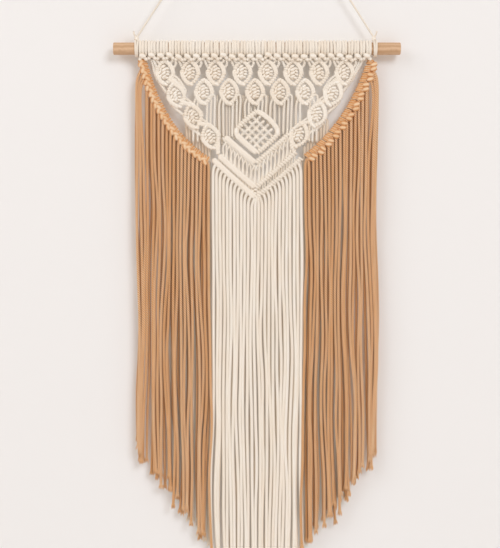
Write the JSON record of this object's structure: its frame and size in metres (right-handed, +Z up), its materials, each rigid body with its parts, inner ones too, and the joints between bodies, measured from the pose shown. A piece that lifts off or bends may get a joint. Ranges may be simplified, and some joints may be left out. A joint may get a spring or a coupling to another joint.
{
  "type": "knotted wall hanging",
  "caption": "Knotted cotton wall hanging on a wooden dowel, with leaf motifs, a woven diamond, swagged ropes and a long V-shaped fringe, hung by a cord.",
  "frame": {"origin": "on the wall, at the middle of the back face of the hook plate that the hanger cord hangs from", "axes": "+Z up, +X to the right seen from the front, +Y into the wall; the front faces -Y"},
  "size_m": [0.35, 0.024, 0.9227],
  "materials": {
    "dowel_wood": "bare sanded wood",
    "cream_cotton": "natural twisted cotton",
    "tan_cotton": "dyed twisted cotton",
    "hook_brass": "brushed"
  },
  "bodies": {
    "hook": {"wall_hook": "hook_brass"},
    "hanger": {"hanger_knot": "cream_cotton", "hanger_leg_left": "cream_cotton", "hanger_leg_right": "cream_cotton", "hanger_tie_left": "cream_cotton", "hanger_tie_right": "cream_cotton"},
    "panel": {"berries": "cream_cotton", "chevron_inner_left": "cream_cotton", "chevron_inner_right": "cream_cotton", "chevron_middle_left": "cream_cotton", "chevron_middle_right": "cream_cotton", "chevron_outer_left": "cream_cotton", "chevron_outer_right": "cream_cotton", "chevron_weave": "cream_cotton", "cream_tops_left": "cream_cotton", "cream_tops_middle": "cream_cotton", "cream_tops_right": "cream_cotton", "diamond_border": "cream_cotton", "diamond_weave": "cream_cotton", "dowel": "dowel_wood", "drop_cords_left": "cream_cotton", "drop_cords_right": "cream_cotton", "edge_cords_left": "cream_cotton", "edge_cords_right": "cream_cotton", "lead_cords": "cream_cotton", "leaf_left_1": "cream_cotton", "leaf_left_2": "cream_cotton", "leaf_left_3": "cream_cotton", "leaf_middle_1": "cream_cotton", "leaf_middle_2": "cream_cotton", "leaf_middle_3": "cream_cotton", "leaf_middle_4": "cream_cotton", "leaf_middle_5": "cream_cotton", "leaf_right_1": "cream_cotton", "leaf_right_2": "cream_cotton", "leaf_right_3": "cream_cotton", "leaf_top_1": "cream_cotton", "leaf_top_2": "cream_cotton", "leaf_top_3": "cream_cotton", "leaf_top_4": "cream_cotton", "leaf_top_5": "cream_cotton", "leaf_top_6": "cream_cotton", "leaf_top_7": "cream_cotton", "leaf_top_8": "cream_cotton", "mounting_knots": "cream_cotton", "swag_cord_left": "tan_cotton", "swag_cord_right": "tan_cotton", "swag_knots_left": "tan_cotton", "swag_knots_right": "tan_cotton", "tan_tops_left": "tan_cotton", "tan_tops_right": "tan_cotton"},
    "fringe_left": {"tan_fringe_left_front": "tan_cotton", "tan_fringe_left_back": "tan_cotton", "cream_fringe_left": "cream_cotton"},
    "fringe_right": {"tan_fringe_right_front": "tan_cotton", "tan_fringe_right_back": "tan_cotton", "cream_fringe_right": "cream_cotton"},
    "fringe_middle": {"cream_fringe_middle": "cream_cotton"}
  },
  "joints": [
    {"name": "hanger_sway", "type": "hinge", "parent": "hook", "child": "hanger", "pos_m": [0, -0.013, 0], "axis": [0, 1, 0], "range_deg": [-8, 8]},
    {"name": "panel_swing", "type": "hinge", "parent": "hanger", "child": "panel", "pos_m": [0, -0.013, -0.247], "axis": [-1, 0, 0], "range_deg": [0, 40]},
    {"name": "fringe_left_swing", "type": "hinge", "parent": "panel", "child": "fringe_left", "pos_m": [-0.104, -0.0172, -0.405], "axis": [-1, 0, 0], "range_deg": [0, 35]},
    {"name": "fringe_right_swing", "type": "hinge", "parent": "panel", "child": "fringe_right", "pos_m": [0.104, -0.0172, -0.405], "axis": [-1, 0, 0], "range_deg": [0, 35]},
    {"name": "fringe_middle_swing", "type": "hinge", "parent": "panel", "child": "fringe_middle", "pos_m": [0, -0.0152, -0.443], "axis": [-1, 0, 0], "range_deg": [0, 35]}
  ]
}
